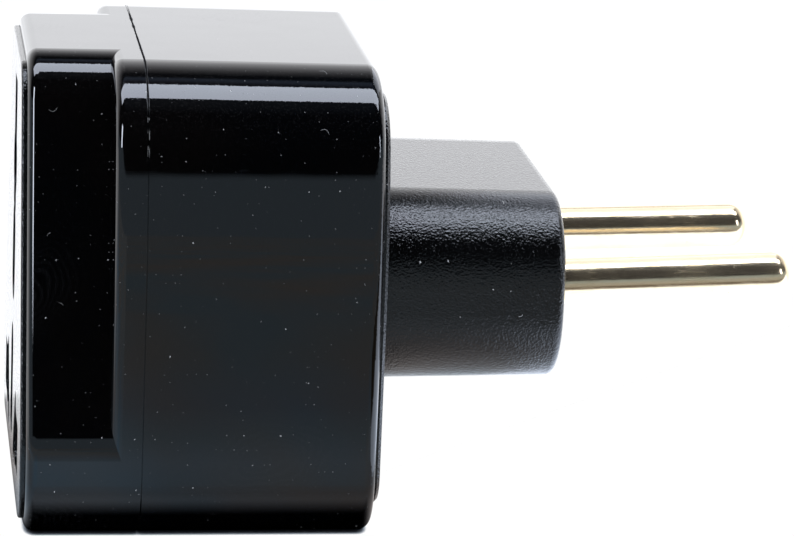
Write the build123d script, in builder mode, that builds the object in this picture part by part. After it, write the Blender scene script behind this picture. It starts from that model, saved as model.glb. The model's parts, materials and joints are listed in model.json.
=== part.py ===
from build123d import *
import math
import os

# Travel adapter: a universal socket face on one end, a two-pin plug on the other.
# X runs from the socket face (-X) to the pin tips (+X), Z is up, the floor is Z = 0,
# and the origin is under the middle of the whole length. Millimetres.

# Lengths along X
plate_proud = 0.45
neck_length = 7.1
collar_length = 2.75
housing_length = 20.1
plug_length = 16.5
pin_length = 21.4

# Body section, measured from the pin axes
body_width = 42.5
top_above_pins = 19.95
bottom_below_pins = 20.55
crown_inset = 9.55
shoulder_radius = 8.0
shoulder_turn = 75.0
bottom_radius = 5.5
rear_top_draft = 0.2
rear_side_draft = 0.15
edge_radius = 1.0

# Neck section at the socket end, narrow at the top and full width below its knee
neck_top_width = 22.4
knee_below_pins = 11.75
neck_top_radius = 4.8
knee_radius = 7.0

# Walls and seams
wall = 1.6
front_wall = 2.0
seam_gap = 0.1
root = 0.5
tongue_length = 1.5
tongue_wall = 0.75
slide_fit = 0.05
snap_height = 0.25
snap_length = 0.6
snap_width = 8.0
snap_offset = 9.0
snap_reach = 0.5
snap_gap = 0.05
lip_depth = 2.0
lip_width = 0.65

# Face plate
plate_thickness = 1.6
plate_margin = 1.1
plate_gap = 0.05
plate_edge = 0.25

# Socket apertures: earth openings measured from the pin axes, the low slot from the line of the poles
earth_slot_width = 4.4
earth_slot_low = 4.0
earth_slot_high = 15.8
earth_round = 6.6
earth_round_height = 8.2
mid_slot_width = 5.2
mid_slot_length = 8.8
low_slot_width = 4.4
low_slot_length = 10.2
low_slot_rise = 2.4
pole_drop = 14.1
pole_blade_offset = 11.1
pole_blade_width = 7.2
pole_blade_height = 4.6
pole_round_offset = 9.6
pole_round = 5.4
pole_slant_offset = 7.3
pole_slant_length = 8.2
pole_slant_width = 2.4
pole_slant_angle = 30.0
aperture_corner = 0.6
aperture_relief = 0.4

# Plug block and its plate
plug_width = 33.4
plug_height = 17.0
plug_corner = 7.3
plug_draft = 1.0
plug_edge = 0.7
plug_wall = 2.0
plug_end_wall = 4.5
base_proud = 0.65
base_flange = 1.2
base_gap = 0.1

# Pins
pin_diameter = 4.0
pin_spacing = 18.6
pin_cant = 2.0
pin_toe_in = 1.2
pin_tip_radius = 1.6
pin_boss_diameter = 7.6
pin_collar_diameter = 6.2
pin_collar_length = 1.2
pin_tail_diameter = 3.0
pin_head_diameter = 4.4
pin_head_length = 0.8
pin_mouth = 0.35
pin_fit = 0.02

# Contacts
strip = 0.8
clip_inner = 7.4
clip_outer = 15.1
leaf_inner = 5.1
leaf_height = 5.0
leaf_gap = 1.2
clip_height = 6.4
clip_grip = 3.0
clip_mouth = 4.6
clip_flare = 1.2
clip_flat = 4.4
strap_width = 6.4
strap_top = 3.4
grip_spring_strip = 0.5
grip_spring_length = 3.6
grip_spring_gap = 0.03
contact_gap = 0.15

# Contact carrier
carrier_side_wall = 1.72
carrier_height = 8.4
carrier_length = 10.05
carrier_gap = 0.3
carrier_front_wall = 0.9
carrier_corner = 1.5
pocket_gap = 0.25
lug_gap = 0.6
lug_rise = 7.0
lug_radius = 2.2
lug_length = 3.0

# Shutter
shutter_travel = 6.2
blade_inner = 4.9
blade_outer = 15.2
blade_rise = 3.2
blade_height = 6.7
blade_front = 4.55
nose_height = 1.2
blade_toe = 1.0
shutter_back = 9.4
rail_thickness = 1.6
rail_inner = 4.5
rail_outer = 7.5
bridge_top = 11.0
bridge_height = 4.9
bridge_nose_height = 0.8
bridge_nose_width = 8.4
bridge_nose_length = 1.9
bridge_toe = 0.6
rail_fit = 0.2
rib_thickness = 1.0
rib_top = 14.0
ledge_width = 2.7
stop_gap = 0.3
stop_width = 2.0
rest_gap = 0.1
retainer_thickness = 1.2
retainer_margin = 0.8
retainer_relief = 0.6
spring_offset = 11.0
spring_depth = 7.55
spring_mean_radius = 1.35
spring_wire = 0.4
spring_turns = 6
spring_peg_radius = 0.8
spring_peg_height = 1.6
spring_end_gap = 0.02
shelf_rise = 2.0
shelf_thickness = 1.4
shelf_outer = 13.0

# Screws
retainer_screw_offset = 9.4
retainer_screw_rise = 10.0
retainer_boss_radius = 1.4
retainer_screw_radius = 0.75
retainer_head_radius = 1.5
retainer_head_height = 0.9
retainer_screw_length = 5.0
pillar_inset = 7.25
pillar_drop = 7.6
pillar_radius = 2.6
pillar_gap = 0.15
assembly_screw_radius = 1.3
assembly_head_radius = 2.2
assembly_screw_bite = 10.0
carrier_screw_radius = 1.05
carrier_head_radius = 1.9
carrier_screw_bite = 4.5
head_height = 1.2
head_depth = 1.8
drive_width = 0.6
drive_depth = 0.6
drive_span = 1.2
screw_fit = 0.03
head_fit = 0.2

# Worked out positions
overall_length = plate_proud + neck_length + collar_length + housing_length + plug_length + pin_length
plate_x = -overall_length / 2
cover_x = plate_x + plate_proud
plate_back_x = plate_x + plate_thickness
inner_wall_x = cover_x + front_wall
step_x = cover_x + neck_length
step_wall_x = step_x + wall
seam_x = step_x + collar_length
rear_x = seam_x + housing_length
lip_x = rear_x - lip_depth
base_inner_x = lip_x - base_flange
base_outer_x = rear_x + base_proud
plug_end_x = rear_x + plug_length
pin_z = bottom_below_pins
pole_z = pin_z - pole_drop
low_slot_z = pole_z + low_slot_rise
half_width = body_width / 2
pin_y = pin_spacing / 2

shutter_front_x = plate_x + blade_front
shutter_back_x = plate_x + shutter_back
rail_x = shutter_back_x - rail_thickness
blade_top = pole_z + blade_rise
blade_low = blade_top - blade_height
bridge_top_z = pin_z + bridge_top
rib_inner = rail_outer + rail_fit
spring_x = plate_x + spring_depth
shelf_z = pin_z + shelf_rise
retainer_x = shutter_back_x + rail_fit
retainer_back_x = retainer_x + retainer_thickness
retainer_screw_z = pin_z + retainer_screw_rise

carrier_x = retainer_back_x + carrier_gap
carrier_back_x = carrier_x + carrier_length
clip_x = carrier_x + carrier_front_wall + contact_gap
strap_x = carrier_back_x + contact_gap
collar_x = strap_x + strip
boss_x = collar_x + pin_collar_length
lug_y = pin_y + strap_width / 2 + lug_gap + lug_radius
lug_z = pole_z + lug_rise
pocket_inner = leaf_inner - pocket_gap
pocket_outer = clip_outer + grip_spring_gap + grip_spring_strip + pocket_gap
pillar_y = half_width - pillar_inset
pillar_z = pin_z + top_above_pins - pillar_drop
pillar_end_x = base_inner_x - pillar_gap

os.makedirs("parts", exist_ok=True)


def section(x):
    """The YZ plane at a given X: sketches on it read Y to the right and Z up."""
    return Plane.YZ.offset(x)


def seat(x, y, z):
    """A place on the YZ plane at X, looking along +X, for holes and screws."""
    return Location(section(x)) * Location((y, z, 0))


def both_sides(y):
    """The same offset on the -Y and the +Y side."""
    return (-y, y)


def body_face(inset=0.0, drop=0.0, side=0.0):
    """Body outline: flat top, rounded shoulders that run into the sides, rounded bottom corners."""
    turn = math.sin(math.radians(shoulder_turn))
    flat = half_width - crown_inset - side
    long_radius = (crown_inset - shoulder_radius * turn) / (1 - turn)
    top = pin_z + top_above_pins - drop - inset
    with BuildLine() as outline:
        crown = Line((-flat, top), (flat, top))
        shoulder = JernArc(crown @ 1, (1, 0), shoulder_radius - inset, -shoulder_turn)
        flank = JernArc(shoulder @ 1, shoulder % 1, long_radius - inset, shoulder_turn - 90)
        side_line = Line(flank @ 1, (half_width - side - inset, bottom_radius))
        corner = JernArc(side_line @ 1, (0, -1), bottom_radius - inset, -90)
        mirror([shoulder, flank, side_line, corner], about=Plane.YZ)
        Line(corner @ 1, (-(corner @ 1).X, inset))
    make_face(outline.edges())


def neck_face(inset=0.0):
    """Neck outline: slanted sides that widen to the full body width at the knee."""
    top = pin_z + top_above_pins
    knee = pin_z - knee_below_pins
    with BuildLine() as outline:
        Polyline((0, top), (neck_top_width / 2, top), (half_width, knee), (half_width, 0), (0, 0))
        mirror(about=Plane.YZ)
    make_face(outline.edges())
    fillet([v for v in vertices() if abs(v.Y - top) < 0.01 and abs(v.X) > 1], neck_top_radius)
    fillet([v for v in vertices() if abs(v.Y - knee) < 0.01], knee_radius)
    fillet([v for v in vertices() if abs(v.Y) < 0.01 and abs(v.X) > half_width - 0.01], bottom_radius)
    if inset:
        offset(amount=-inset, mode=Mode.REPLACE)


def socket_openings():
    """The five apertures of the universal socket face."""
    earth_mid = (earth_slot_low + earth_slot_high) / 2
    with Locations((0, pin_z + earth_mid)):
        RectangleRounded(earth_slot_width, earth_slot_high - earth_slot_low, aperture_corner)
    with Locations((0, pin_z + earth_round_height)):
        Circle(earth_round / 2)
    with Locations((0, pin_z)):
        SlotOverall(mid_slot_length, mid_slot_width, rotation=90)
    with Locations((0, low_slot_z)):
        SlotOverall(low_slot_length, low_slot_width, rotation=90)
    for side in (-1, 1):
        with Locations((side * pole_blade_offset, pole_z)):
            RectangleRounded(pole_blade_width, pole_blade_height, aperture_corner)
        with Locations((side * pole_round_offset, pole_z)):
            Circle(pole_round / 2)
        with Locations((side * pole_slant_offset, pole_z)):
            SlotOverall(pole_slant_length, pole_slant_width, rotation=90 - side * pole_slant_angle)


def socket_windows(grow):
    """Three plain windows behind the middle row of apertures and the two pole openings."""
    middle_top = pin_z + earth_slot_high
    middle_low = low_slot_z - low_slot_length / 2
    with Locations((0, (middle_top + middle_low) / 2)):
        Rectangle(earth_round + 2 * grow, middle_top - middle_low + 2 * grow)
    pole_inner = pole_slant_offset - pole_slant_width
    pole_outer = pole_blade_offset + pole_blade_width / 2
    with Locations([(y, pole_z) for y in both_sides((pole_inner + pole_outer) / 2)]):
        Rectangle(pole_outer - pole_inner + 2 * grow, pole_slant_length + 2 * grow)


def snap_ribs(grow=0.0):
    """Two three-cornered ribs below the tongue, or with grow the grooves that they click into."""
    tongue_low = wall - tongue_wall + grow
    for y in both_sides(snap_offset):
        with BuildSketch(Plane.XZ.offset(-y - snap_width / 2 - grow)) as profile:
            with BuildLine():
                Polyline(
                    (seam_x + snap_reach - grow, tongue_low),
                    (seam_x + snap_reach + snap_length / 2, tongue_low - snap_height - 2 * grow),
                    (seam_x + snap_reach + snap_length + grow, tongue_low),
                    close=True,
                )
            make_face()
        extrude(profile.sketch, amount=snap_width + 2 * grow, mode=Mode.SUBTRACT if grow else Mode.ADD)


def screw(place, shaft, length, head, height):
    """Screw with a bevelled head and a cross recess, pointing along the place's -Z."""
    seat_plane = Plane(place)
    with BuildSketch(seat_plane) as head_outline:
        Circle(head)
    pan = extrude(head_outline.sketch, amount=height)
    chamfer([e for e in pan.edges() if seat_plane.to_local_coords(e.center()).Z > height / 2], height / 3)
    with BuildSketch(seat_plane) as shaft_outline:
        Circle(shaft)
    extrude(shaft_outline.sketch, amount=-length)
    with BuildSketch(seat_plane.offset(height)) as cross:
        Rectangle(head * drive_span, drive_width)
        Rectangle(drive_width, head * drive_span)
    extrude(cross.sketch, amount=-drive_depth, mode=Mode.SUBTRACT)


# Face plate: thin matt panel, let into the cover and standing slightly proud of it
with BuildPart() as face_plate:
    with BuildSketch(section(plate_x)):
        neck_face(inset=plate_margin)
    extrude(amount=plate_thickness)
    fillet(face_plate.faces().sort_by(Axis.X)[0].edges(), plate_edge)
    with BuildSketch(section(plate_x)):
        socket_openings()
    extrude(amount=plate_thickness, mode=Mode.SUBTRACT)
face_plate.part.label = "face_plate"
export_step(face_plate.part, "parts/face_plate.step")

# Neck of the front cover, rounded at its front edge before it joins the collar
with BuildPart() as neck_block:
    with BuildSketch(section(cover_x)):
        neck_face()
    extrude(amount=seam_x - seam_gap / 2 - cover_x)
    fillet(neck_block.faces().sort_by(Axis.X)[0].edges(), edge_radius)

# Front cover: neck and collar in one moulding, with the shutter guides and the screw pillars inside
with BuildPart() as front_cover:
    with BuildSketch(section(step_x)):
        body_face()
    extrude(amount=seam_x - seam_gap / 2 - step_x)
    fillet(front_cover.faces().sort_by(Axis.X)[0].edges(), edge_radius)
    add(neck_block.part)
    # Tongue that centres the cover in the housing
    with BuildSketch(section(step_wall_x)):
        body_face(inset=wall - tongue_wall)
    extrude(amount=seam_x + tongue_length - step_wall_x)
    # Hollow of the neck, then of the collar
    with BuildSketch(section(inner_wall_x)):
        neck_face(inset=wall)
    extrude(amount=step_wall_x - inner_wall_x, mode=Mode.SUBTRACT)
    with BuildSketch(section(step_wall_x)):
        body_face(inset=wall)
    extrude(amount=seam_x + tongue_length - step_wall_x, mode=Mode.SUBTRACT)
    snap_ribs()
    # Recess for the face plate and the windows behind its apertures
    with BuildSketch(section(cover_x)):
        neck_face(inset=plate_margin - plate_gap)
    extrude(amount=plate_back_x - cover_x, mode=Mode.SUBTRACT)
    with BuildSketch(section(plate_back_x)):
        socket_windows(grow=aperture_relief)
    extrude(amount=inner_wall_x - plate_back_x, mode=Mode.SUBTRACT)
    # Guide ribs beside the shutter rails, with a ledge in front of each rail
    rib_low = blade_top + shutter_travel + stop_gap
    rib_height = pin_z + rib_top - rib_low
    rib_mid = rib_low + rib_height / 2
    with BuildSketch(section(inner_wall_x - root)):
        with Locations([(y, rib_mid) for y in both_sides(rib_inner + rib_thickness / 2)]):
            Rectangle(rib_thickness, rib_height)
    extrude(amount=shutter_back_x - inner_wall_x + root)
    with BuildSketch(section(inner_wall_x - root)):
        with Locations([(y, rib_mid) for y in both_sides(rib_inner - ledge_width / 2)]):
            Rectangle(ledge_width, rib_height)
    extrude(amount=rail_x - rail_fit - inner_wall_x + root)
    # Shelves that the shutter springs push against, each with a peg
    shelf_mid = shelf_z + shelf_thickness / 2
    with BuildSketch(section(inner_wall_x - root)):
        with Locations([(y, shelf_mid) for y in both_sides((rib_inner + shelf_outer) / 2)]):
            Rectangle(shelf_outer - rib_inner, shelf_thickness)
    extrude(amount=shutter_back_x - inner_wall_x + root)
    with BuildSketch(Plane.XY.offset(shelf_z + root)):
        with Locations([(spring_x, y) for y in both_sides(spring_offset)]):
            Circle(spring_peg_radius)
    extrude(amount=-spring_peg_height)
    # Feet on the floor of the neck that the closed shutter rests above
    foot_top = blade_low - rest_gap
    foot_low = wall - root
    with BuildSketch(section(inner_wall_x - root)):
        with Locations([(y, (foot_low + foot_top) / 2) for y in both_sides(blade_outer - stop_width)]):
            Rectangle(stop_width, foot_top - foot_low)
    extrude(amount=shutter_back_x - inner_wall_x + root)
    # Bosses for the retainer screws
    with BuildSketch(section(inner_wall_x - root)):
        with Locations([(y, retainer_screw_z) for y in both_sides(retainer_screw_offset)]):
            Circle(retainer_boss_radius)
    extrude(amount=retainer_x - inner_wall_x + root)
    with Locations([seat(retainer_x, y, retainer_screw_z) for y in both_sides(retainer_screw_offset)]):
        Hole(retainer_screw_radius + screw_fit, depth=retainer_screw_length)
    # Pillars for the two screws that hold the case together
    with BuildSketch(section(step_wall_x - root)):
        with Locations([(y, pillar_z) for y in both_sides(pillar_y)]):
            Circle(pillar_radius)
    extrude(amount=pillar_end_x - step_wall_x + root)
    with Locations([seat(pillar_end_x, y, pillar_z) for y in both_sides(pillar_y)]):
        Hole(assembly_screw_radius + screw_fit, depth=assembly_screw_bite + root)
front_cover.part.label = "front_cover"
export_step(front_cover.part, "parts/front_cover.step")

# Rear housing: drafted tube with a rebate for the tongue and a lip that holds the plug base
with BuildPart() as rear_housing:
    with BuildSketch(section(seam_x + seam_gap / 2)):
        body_face()
    with BuildSketch(section(rear_x)):
        body_face(drop=rear_top_draft, side=rear_side_draft)
    loft()
    fillet(rear_housing.faces().sort_by(Axis.X)[-1].edges(), edge_radius)
    with BuildSketch(section(seam_x)):
        body_face(inset=wall, drop=rear_top_draft, side=rear_side_draft)
    extrude(amount=lip_x - seam_x, mode=Mode.SUBTRACT)
    with BuildSketch(section(seam_x)):
        body_face(inset=wall - tongue_wall - slide_fit)
    extrude(amount=tongue_length + seam_gap, mode=Mode.SUBTRACT)
    snap_ribs(grow=snap_gap)
    with BuildSketch(section(lip_x)):
        body_face(inset=wall + lip_width, drop=rear_top_draft, side=rear_side_draft)
    extrude(amount=lip_depth, mode=Mode.SUBTRACT)
rear_housing.part.label = "rear_housing"
export_step(rear_housing.part, "parts/rear_housing.step")

# Plug base: the plate that closes the housing, with the hollow block that carries the pins
with BuildPart() as plug_base:
    with BuildSketch(section(base_inner_x)):
        body_face(inset=wall + base_gap, drop=rear_top_draft, side=rear_side_draft)
    extrude(amount=base_flange)
    with BuildSketch(section(lip_x)):
        body_face(inset=wall + lip_width + base_gap, drop=rear_top_draft, side=rear_side_draft)
    extrude(amount=base_outer_x - lip_x)
    chamfer(plug_base.faces().sort_by(Axis.X)[-1].edges(), plate_edge)
    with BuildSketch(section(rear_x)):
        with Locations((0, pin_z)):
            RectangleRounded(plug_width, plug_height, plug_corner)
    extrude(amount=plug_length, taper=plug_draft)
    fillet(plug_base.faces().sort_by(Axis.X)[-1].edges(), plug_edge)
    with BuildSketch(section(base_inner_x)):
        with Locations((0, pin_z)):
            RectangleRounded(
                plug_width - 2 * plug_wall,
                plug_height - 2 * plug_wall,
                plug_corner - plug_wall,
            )
    extrude(amount=plug_end_x - plug_end_wall - base_inner_x, taper=plug_draft, mode=Mode.SUBTRACT)
    # Bosses that the pin collars seat against
    with BuildSketch(section(boss_x)):
        with Locations([(y, pin_z) for y in both_sides(pin_y)]):
            Circle(pin_boss_diameter / 2)
    extrude(amount=plug_end_x - plug_end_wall + root - boss_x)
    # Posts for the contact carrier
    with BuildSketch(section(carrier_back_x)):
        with Locations([(y, lug_z) for y in both_sides(lug_y)]):
            Circle(lug_radius)
    extrude(amount=base_inner_x + root - carrier_back_x)
    # Pin holes with a small mouth, carrier screw holes and the sunk seats of the case screws
    with Locations([seat(plug_end_x, y, pin_z) for y in both_sides(pin_y)]):
        CounterSinkHole(
            pin_diameter / 2 + pin_fit,
            pin_diameter / 2 + pin_mouth,
            depth=plug_end_x - boss_x,
            counter_sink_angle=90,
        )
    with Locations([seat(carrier_back_x, y, lug_z) * Rot(0, 180, 0) for y in both_sides(lug_y)]):
        Hole(carrier_screw_radius + screw_fit, depth=carrier_screw_bite + root)
    with Locations([seat(base_outer_x, y, pillar_z) for y in both_sides(pillar_y)]):
        CounterBoreHole(
            assembly_screw_radius + head_fit,
            assembly_head_radius + head_fit,
            head_depth,
            depth=base_outer_x - base_inner_x,
        )
plug_base.part.label = "plug_base"
export_step(plug_base.part, "parts/plug_base.step")

# Plug pins: riveted tail, collar and shank inside, and a length outside that cants upwards and inwards
for name, side in (("line_pin", -1), ("neutral_pin", 1)):
    with BuildPart() as plug_pin:
        for start, end, diameter in (
            (strap_x - pin_head_length, strap_x, pin_head_diameter),
            (strap_x, collar_x, pin_tail_diameter),
            (collar_x, boss_x, pin_collar_diameter),
        ):
            with BuildSketch(section(start)):
                with Locations((side * pin_y, pin_z)):
                    Circle(diameter / 2)
            extrude(amount=end - start)
        tip_rise = pin_length * math.tan(math.radians(pin_cant))
        tip_y = side * (pin_y - pin_length * math.tan(math.radians(pin_toe_in)))
        with BuildLine() as shank:
            Polyline(
                (boss_x, side * pin_y, pin_z),
                (plug_end_x, side * pin_y, pin_z),
                (plug_end_x + pin_length, tip_y, pin_z + tip_rise),
            )
        with BuildSketch(section(boss_x)):
            with Locations((side * pin_y, pin_z)):
                Circle(pin_diameter / 2)
        sweep(path=shank.line, transition=Transition.RIGHT)
        fillet(plug_pin.faces().sort_by(Axis.X)[-1].edges(), pin_tip_radius)
    plug_pin.part.label = name
    export_step(plug_pin.part, f"parts/{name}.step")

# Contacts: a strap riveted to the pin, two sprung jaws for round and square pins, a leaf for flat ones
for name, side in (("line_contact", -1), ("neutral_contact", 1)):
    jaw_plane = Plane(origin=(0, side * clip_inner, pole_z), x_dir=(1, 0, 0), z_dir=(0, side, 0))
    with BuildPart() as contact:
        with BuildSketch(section(strap_x)):
            with Locations((side * (leaf_inner + clip_outer) / 2, pole_z)):
                Rectangle(clip_outer - leaf_inner, clip_height)
            with Locations((side * pin_y, (pole_z + pin_z + strap_top) / 2)):
                Rectangle(strap_width, pin_z + strap_top - pole_z)
            with Locations((side * pin_y, pin_z)):
                Circle(pin_tail_diameter / 2 + pin_fit, mode=Mode.SUBTRACT)
        extrude(amount=strip)
        with BuildSketch(jaw_plane):
            with BuildLine():
                Polyline(
                    (strap_x, side * clip_height / 2),
                    (clip_x + clip_flare + clip_flat, side * (clip_grip / 2 + strip)),
                    (clip_x + clip_flare, side * (clip_grip / 2 + strip)),
                    (clip_x, side * (clip_mouth / 2 + strip)),
                )
                offset(amount=strip, side=Side.LEFT if side > 0 else Side.RIGHT)
            make_face()
            mirror(about=Plane.XZ)
        extrude(amount=clip_outer - clip_inner)
        with BuildSketch(section(clip_x + leaf_gap)):
            with Locations((side * (leaf_inner + strip / 2), pole_z)):
                Rectangle(strip, leaf_height)
        extrude(amount=strap_x - clip_x - leaf_gap)
    contact.part.label = name
    export_step(contact.part, f"parts/{name}.step")

# Grip springs: steel staples round the jaws that keep them pressed on a pin
for name, side in (("line_grip_spring", -1), ("neutral_grip_spring", 1)):
    staple = clip_grip / 2 + strip + grip_spring_gap
    with BuildPart() as grip_spring:
        with BuildSketch(section(clip_x + clip_flare + (clip_flat - grip_spring_length) / 2)):
            with BuildLine():
                Polyline(
                    (side * clip_inner, pole_z + staple),
                    (side * (clip_outer + grip_spring_gap), pole_z + staple),
                    (side * (clip_outer + grip_spring_gap), pole_z - staple),
                    (side * clip_inner, pole_z - staple),
                )
                offset(amount=grip_spring_strip, side=Side.LEFT if side > 0 else Side.RIGHT)
            make_face()
        extrude(amount=grip_spring_length)
    grip_spring.part.label = name
    export_step(grip_spring.part, f"parts/{name}.step")

# Contact carrier: moulded block with a pocket for each contact, screwed to the posts of the plug base
with BuildPart() as contact_carrier:
    with BuildSketch(section(carrier_x)):
        with Locations((0, pole_z)):
            RectangleRounded(2 * (pocket_outer + carrier_side_wall), carrier_height, carrier_corner)
    extrude(amount=carrier_length)
    # Pockets, open at the back
    with BuildSketch(section(carrier_x + carrier_front_wall)):
        with Locations([(y, pole_z) for y in both_sides((pocket_inner + pocket_outer) / 2)]):
            Rectangle(pocket_outer - pocket_inner, clip_height + 2 * pocket_gap)
    extrude(amount=carrier_length - carrier_front_wall, mode=Mode.SUBTRACT)
    # Windows for the poles and the slot for a low centre pin
    with BuildSketch(section(carrier_x)):
        with Locations([(y, pole_z) for y in both_sides((pocket_inner + pocket_outer) / 2)]):
            Rectangle(pocket_outer - pocket_inner - 2 * pocket_gap, clip_mouth + 2 * strip)
    extrude(amount=carrier_front_wall, mode=Mode.SUBTRACT)
    with BuildSketch(section(carrier_x)):
        with Locations((0, low_slot_z)):
            SlotOverall(
                low_slot_length + 2 * aperture_relief,
                low_slot_width + 2 * aperture_relief,
                rotation=90,
            )
    extrude(amount=carrier_length, mode=Mode.SUBTRACT)
    # Lugs on top for the carrier screws
    lug_foot = pole_z + clip_height / 2 + pocket_gap
    with BuildSketch(section(carrier_back_x - lug_length)):
        with Locations([(y, lug_z) for y in both_sides(lug_y)]):
            Circle(lug_radius)
        with Locations([(y, (lug_foot + lug_z) / 2) for y in both_sides(lug_y)]):
            Rectangle(2 * lug_radius, lug_z - lug_foot)
    extrude(amount=lug_length)
    with Locations([seat(carrier_back_x, y, lug_z) for y in both_sides(lug_y)]):
        Hole(carrier_screw_radius + head_fit, depth=lug_length)
contact_carrier.part.label = "contact_carrier"
export_step(contact_carrier.part, "parts/contact_carrier.step")

# Shutter: two ramped blades behind the pole openings, on rails that join in a ramped bridge
with BuildPart() as shutter:
    with BuildSketch(Plane.XZ.offset(-blade_outer)):
        with BuildLine():
            Polyline(
                (shutter_front_x, blade_top),
                (shutter_front_x, blade_top - nose_height),
                (shutter_back_x - blade_toe, blade_low),
                (shutter_back_x, blade_low),
                (shutter_back_x, blade_top),
                close=True,
            )
        make_face()
    extrude(amount=blade_outer - blade_inner)
    with BuildSketch(section(rail_x)):
        with Locations(((rail_inner + rail_outer) / 2, (blade_low + bridge_top_z) / 2)):
            Rectangle(rail_outer - rail_inner, bridge_top_z - blade_low)
    extrude(amount=rail_thickness)
    with BuildSketch(Plane.XY.offset(blade_top)):
        with Locations((spring_x, spring_offset)):
            Circle(spring_peg_radius)
    extrude(amount=spring_peg_height)
    mirror(about=Plane.XZ)
    with BuildSketch(section(rail_x)):
        with Locations((0, bridge_top_z - bridge_height / 2)):
            Rectangle(2 * rail_outer, bridge_height)
    extrude(amount=rail_thickness)
    with BuildSketch(Plane.XZ.offset(-bridge_nose_width / 2)):
        with BuildLine():
            Polyline(
                (rail_x - bridge_nose_length, bridge_top_z),
                (rail_x - bridge_nose_length, bridge_top_z - bridge_nose_height),
                (shutter_back_x - bridge_toe, bridge_top_z - bridge_height),
                (shutter_back_x, bridge_top_z - bridge_height),
                (shutter_back_x, bridge_top_z),
                close=True,
            )
        make_face()
    extrude(amount=bridge_nose_width)
shutter.part.label = "shutter"
export_step(shutter.part, "parts/shutter.step")

# Shutter springs: one coil of square wire on each side, between the blade and its shelf
for name, side in (("line_shutter_spring", -1), ("neutral_shutter_spring", 1)):
    spring_length = shelf_z - blade_top - spring_wire - 2 * spring_end_gap
    with BuildPart() as shutter_spring:
        with BuildLine() as coil:
            Helix(
                pitch=spring_length / spring_turns,
                height=spring_length,
                radius=spring_mean_radius,
                center=(spring_x, side * spring_offset, blade_top + spring_wire / 2 + spring_end_gap),
            )
        with BuildSketch(Plane(origin=coil.line @ 0, z_dir=coil.line % 0)):
            Rectangle(spring_wire, spring_wire)
        sweep(is_frenet=True)
    shutter_spring.part.label = name
    export_step(shutter_spring.part, f"parts/{name}.step")

# Shutter retainer: plate that keeps the shutter and its springs in the neck
with BuildPart() as shutter_retainer:
    with BuildSketch(section(retainer_x)):
        neck_face(inset=wall + retainer_margin)
    extrude(amount=retainer_thickness)
    with BuildSketch(section(retainer_x)):
        socket_windows(grow=retainer_relief)
        with Locations([(y, pillar_z) for y in both_sides(pillar_y)]):
            Circle(pillar_radius + pillar_gap)
    extrude(amount=retainer_thickness, mode=Mode.SUBTRACT)
    with Locations([seat(retainer_back_x, y, retainer_screw_z) for y in both_sides(retainer_screw_offset)]):
        Hole(retainer_screw_radius + head_fit, depth=retainer_thickness)
shutter_retainer.part.label = "shutter_retainer"
export_step(shutter_retainer.part, "parts/shutter_retainer.step")

# Screws of the retainer
with BuildPart() as retainer_screws:
    for y in both_sides(retainer_screw_offset):
        screw(
            seat(retainer_back_x, y, retainer_screw_z),
            retainer_screw_radius,
            retainer_screw_length,
            retainer_head_radius,
            retainer_head_height,
        )
retainer_screws.part.label = "retainer_screws"
export_step(retainer_screws.part, "parts/retainer_screws.step")

# Screws of the contact carrier
with BuildPart() as carrier_screws:
    for y in both_sides(lug_y):
        screw(
            seat(carrier_back_x - lug_length, y, lug_z) * Rot(0, 180, 0),
            carrier_screw_radius,
            lug_length + carrier_screw_bite,
            carrier_head_radius,
            head_height,
        )
carrier_screws.part.label = "carrier_screws"
export_step(carrier_screws.part, "parts/carrier_screws.step")

# Screws that draw the plug base and the front cover together over the housing
with BuildPart() as assembly_screws:
    for y in both_sides(pillar_y):
        screw(
            seat(base_outer_x - head_depth, y, pillar_z),
            assembly_screw_radius,
            base_outer_x - head_depth - pillar_end_x + assembly_screw_bite,
            assembly_head_radius,
            head_height,
        )
assembly_screws.part.label = "assembly_screws"
export_step(assembly_screws.part, "parts/assembly_screws.step")
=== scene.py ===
# %% [markdown]
# # A travel adapter in black plastic
#
# The adapter is built from gloss mouldings, a matt face plate and plug block, and two plated pins.
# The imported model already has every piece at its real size. This lesson gives the pieces their
# finish, adds the small things that only a close look shows, and lights them as a product photograph.

import json
import math

import bmesh
import bpy
from mathutils import Matrix, Vector


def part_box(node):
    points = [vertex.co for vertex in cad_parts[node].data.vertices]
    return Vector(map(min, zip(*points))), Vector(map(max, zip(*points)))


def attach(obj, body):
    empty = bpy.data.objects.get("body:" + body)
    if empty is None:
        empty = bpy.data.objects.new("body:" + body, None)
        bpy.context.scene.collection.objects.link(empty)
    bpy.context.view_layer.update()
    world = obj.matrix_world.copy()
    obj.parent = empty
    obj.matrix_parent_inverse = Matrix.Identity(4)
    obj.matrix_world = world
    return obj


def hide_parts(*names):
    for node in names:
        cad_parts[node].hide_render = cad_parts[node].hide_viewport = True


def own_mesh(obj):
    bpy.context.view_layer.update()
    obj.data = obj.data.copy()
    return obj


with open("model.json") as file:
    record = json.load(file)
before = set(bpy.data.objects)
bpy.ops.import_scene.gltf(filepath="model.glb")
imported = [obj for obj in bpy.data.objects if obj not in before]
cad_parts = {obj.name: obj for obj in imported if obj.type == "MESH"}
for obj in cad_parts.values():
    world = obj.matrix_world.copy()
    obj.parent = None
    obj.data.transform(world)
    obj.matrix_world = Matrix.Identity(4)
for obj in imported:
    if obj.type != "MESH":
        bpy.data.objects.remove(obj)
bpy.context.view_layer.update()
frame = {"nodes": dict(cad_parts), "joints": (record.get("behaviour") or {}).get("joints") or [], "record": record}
scene = bpy.context.scene

# %% [markdown]
# ## Landmarks
#
# The finish follows the object, so the places that it needs are read from the nodes' own boxes.
# X runs from the socket face to the pin tips, Y across the pins and Z up.

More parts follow.
